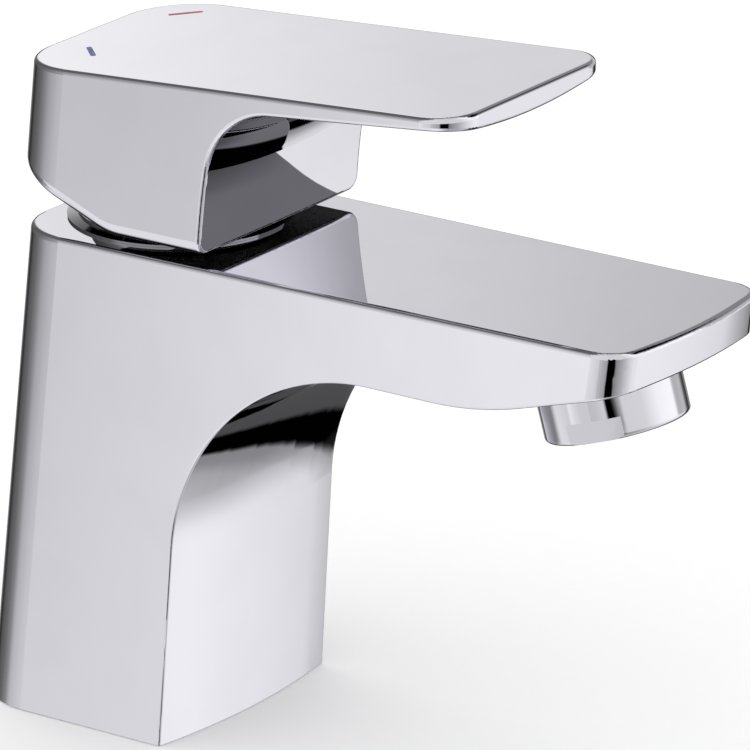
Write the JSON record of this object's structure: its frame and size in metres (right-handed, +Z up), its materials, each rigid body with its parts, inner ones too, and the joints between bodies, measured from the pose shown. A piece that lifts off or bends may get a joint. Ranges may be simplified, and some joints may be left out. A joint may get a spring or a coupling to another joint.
{
  "type": "bathroom mixer faucet",
  "caption": "Single-lever basin mixer: soft-cornered square column with an arched spout, a flat lever over a cartridge block, and an angled aerator.",
  "frame": {"origin": "on the deck plane, at the centre of the tap hole", "axes": "+Z up out of the deck, spout towards -Y, +X to the user's right when facing the spout from the basin side"},
  "size_m": [0.0518, 0.1437, 0.1889],
  "materials": {
    "body_chrome": "polished chrome plate on cast brass",
    "handle_chrome": "polished chrome plate on cast zinc",
    "trim_chrome": "polished chrome plate",
    "aerator_chrome": "polished chrome plate",
    "gasket_rubber": "matt black rubber",
    "seal_rubber": "black nitrile rubber",
    "stud_steel": "machined stainless steel",
    "plate_steel": "zinc-plated pressed steel",
    "screen_steel": "woven-look stainless screen",
    "nut_brass": "machined brass",
    "spindle_brass": "machined brass",
    "cartridge_plastic": "off-white engineering plastic",
    "carrier_plastic": "grey engineering plastic",
    "insert_plastic": "pale translucent-look plastic",
    "disc_ceramic": "lapped alumina",
    "cap_plastic": "silver-grey gloss plug",
    "cold_blue": "blue enamel inlay",
    "hot_red": "red enamel inlay"
  },
  "bodies": {
    "fixed": {"faucet_body": "body_chrome", "base_gasket": "gasket_rubber", "mounting_stud": "stud_steel", "horseshoe_gasket": "gasket_rubber", "horseshoe_plate": "plate_steel", "clamp_nut": "nut_brass", "cartridge_base": "cartridge_plastic", "cold_inlet_seal": "seal_rubber", "hot_inlet_seal": "seal_rubber", "fixed_ceramic_disc": "disc_ceramic", "cartridge_housing": "cartridge_plastic", "cartridge_oring": "seal_rubber", "cartridge_nut": "nut_brass", "trim_ring": "trim_chrome", "aerator_shell": "aerator_chrome", "aerator_insert": "insert_plastic", "flow_regulator": "insert_plastic", "aerator_screen": "screen_steel", "aerator_washer": "seal_rubber"},
    "turret": {"cartridge_turret": "carrier_plastic", "pivot_pin": "stud_steel", "turret_oring": "seal_rubber"},
    "lever": {"spindle": "spindle_brass", "handle_insert": "carrier_plastic", "grub_screw": "stud_steel", "handle": "handle_chrome", "screw_cap": "cap_plastic", "cold_index": "cold_blue", "hot_index": "hot_red"},
    "disc": {"moving_ceramic_disc": "disc_ceramic", "disc_carrier": "carrier_plastic"}
  },
  "joints": [
    {"name": "handle_turn", "type": "hinge", "parent": "fixed", "child": "turret", "pos_m": [0, -0.0076, 0.09312], "axis": [0, 0.0105, 0.9999], "range_deg": [-45, 45]},
    {"name": "handle_lift", "type": "hinge", "parent": "turret", "child": "lever", "pos_m": [0, -0.00764, 0.08912], "axis": [-1, 0, 0], "range_deg": [0, 20]},
    {"name": "disc_slide", "type": "slide", "parent": "turret", "child": "disc", "axis": [0, -0.9999, 0.0105], "range_m": [0, 0.00452]}
  ],
  "couplings": [
    {"joint": "disc_slide", "follows": "handle_lift", "m_per_rad": 0.012926}
  ]
}
